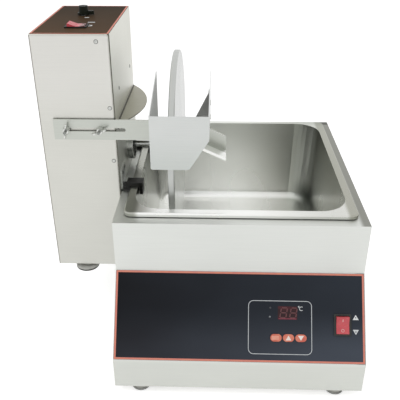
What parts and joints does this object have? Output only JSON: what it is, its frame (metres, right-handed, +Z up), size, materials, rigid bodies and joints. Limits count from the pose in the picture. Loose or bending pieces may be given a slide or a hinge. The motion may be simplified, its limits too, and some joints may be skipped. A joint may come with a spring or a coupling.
{
  "type": "chocolate melting pot",
  "caption": "Countertop chocolate melting pot: heated stainless housing with a lift-out pan, and a hang-on tower that turns a dispensing wheel with guard, scraper and chute.",
  "frame": {"origin": "middle of the bounding box's footprint, on the worktop under the four feet", "axes": "+Z up; -Y towards the sloping console and the user; -X towards the hang-on wheel unit"},
  "size_m": [0.4564, 0.4614, 0.4878],
  "materials": {
    "stainless": "satin sheet",
    "polished_stainless": "polished",
    "shield_steel": "satin sheet",
    "fastener_steel": "bright",
    "heater_steel": "oxidised",
    "circuit_board": "coated laminate",
    "panel_film": "satin printed film",
    "tower_film": "satin printed film",
    "window": "clear tinted",
    "red_plastic": "translucent red",
    "key_plastic": "satin",
    "black_plastic": "fine texture",
    "foot_plastic": "smooth",
    "foot_rubber": "matt",
    "motor_paint": "semi-gloss",
    "cast_alloy": "cast"
  },
  "bodies": {
    "melter": {"body_casing": "stainless", "base_cover": "stainless", "base_screws": "fastener_steel", "inner_tank": "polished_stainless", "heating_element": "heater_steel", "temperature_probe": "heater_steel", "control_board": "circuit_board", "display_module": "black_plastic", "display_window": "window", "console_overlay": "panel_film", "console_switch_housing": "black_plastic", "body_feet": "foot_plastic", "foot_pads": "foot_rubber", "body_power_inlet": "black_plastic"},
    "pan": {"food_pan": "polished_stainless"},
    "wheel_unit": {"tower_casing": "stainless", "tower_cover": "stainless", "tower_base": "stainless", "tower_overlay": "tower_film", "tower_feet": "foot_plastic", "tower_foot_rings": "foot_rubber", "cover_screws": "fastener_steel", "side_screws": "fastener_steel", "flange_screws": "fastener_steel", "gear_motor": "motor_paint", "gearbox": "cast_alloy", "motor_bracket": "fastener_steel", "speed_board": "circuit_board", "potentiometer": "cast_alloy", "tower_switch_housing": "black_plastic", "splash_shield": "shield_steel", "hook_brackets": "polished_stainless", "hook_covers": "black_plastic", "hook_screws": "fastener_steel", "shaft_flange": "polished_stainless", "arm_studs": "fastener_steel", "tower_power_inlet": "black_plastic"},
    "wheel": {"wheel_disc": "polished_stainless", "wheel_hub": "polished_stainless", "drive_shaft": "polished_stainless", "wheel_nut": "polished_stainless"},
    "scraper_arm": {"arm_plate": "stainless", "guard": "stainless", "scraper_plate": "stainless", "chute": "stainless", "guard_rivets": "fastener_steel"},
    "left_nut": {"left_wing_nut": "fastener_steel"},
    "right_nut": {"right_wing_nut": "fastener_steel"},
    "knob": {"speed_knob": "black_plastic"},
    "unit_switch": {"tower_rocker": "red_plastic"},
    "main_switch": {"console_rocker": "red_plastic"},
    "set_key": {"set_button": "key_plastic"},
    "up_key": {"up_button": "key_plastic"},
    "down_key": {"down_button": "key_plastic"}
  },
  "joints": [
    {"name": "pan_lift", "type": "slide", "parent": "melter", "child": "pan", "axis": [0, 0, 1], "range_m": [0, 0.16]},
    {"name": "wheel_unit_lift", "type": "slide", "parent": "pan", "child": "wheel_unit", "axis": [0, 0, 1], "range_m": [0, 0.16]},
    {"name": "wheel_spin", "type": "hinge", "parent": "wheel_unit", "child": "wheel", "pos_m": [-0.04365, 0.03525, 0.276], "axis": [1, 0, 0], "continuous": true},
    {"name": "arm_slide", "type": "slide", "parent": "wheel_unit", "child": "scraper_arm", "axis": [1, 0, 0], "range_m": [-0.021, 0]},
    {"name": "left_nut_turn", "type": "hinge", "parent": "wheel_unit", "child": "left_nut", "pos_m": [-0.19105, -0.07875, 0.343], "axis": [0, 1, 0], "continuous": true},
    {"name": "right_nut_turn", "type": "hinge", "parent": "wheel_unit", "child": "right_nut", "pos_m": [-0.14385, -0.07875, 0.343], "axis": [0, 1, 0], "continuous": true},
    {"name": "knob_turn", "type": "hinge", "parent": "wheel_unit", "child": "knob", "pos_m": [-0.17925, 0.04825, 0.48], "axis": [0, 0, 1], "range_deg": [-45, 225]},
    {"name": "unit_switch_rock", "type": "hinge", "parent": "wheel_unit", "child": "unit_switch", "pos_m": [-0.17375, -0.02775, 0.474], "axis": [0, 1, 0], "range_deg": [-16, 0]},
    {"name": "main_switch_rock", "type": "hinge", "parent": "melter", "child": "main_switch", "pos_m": [0.19655, -0.19948, 0.10669], "axis": [1, 0, 0], "range_deg": [-16, 0]},
    {"name": "set_key_press", "type": "slide", "parent": "melter", "child": "set_key", "axis": [0, 0.8132, -0.582], "range_m": [0, 0.0006], "stiffness_N_per_m": 300, "springref_m": -0.0005},
    {"name": "up_key_press", "type": "slide", "parent": "melter", "child": "up_key", "axis": [0, 0.8132, -0.582], "range_m": [0, 0.0006], "stiffness_N_per_m": 300, "springref_m": -0.0005},
    {"name": "down_key_press", "type": "slide", "parent": "melter", "child": "down_key", "axis": [0, 0.8132, -0.582], "range_m": [0, 0.0006], "stiffness_N_per_m": 300, "springref_m": -0.0005}
  ]
}
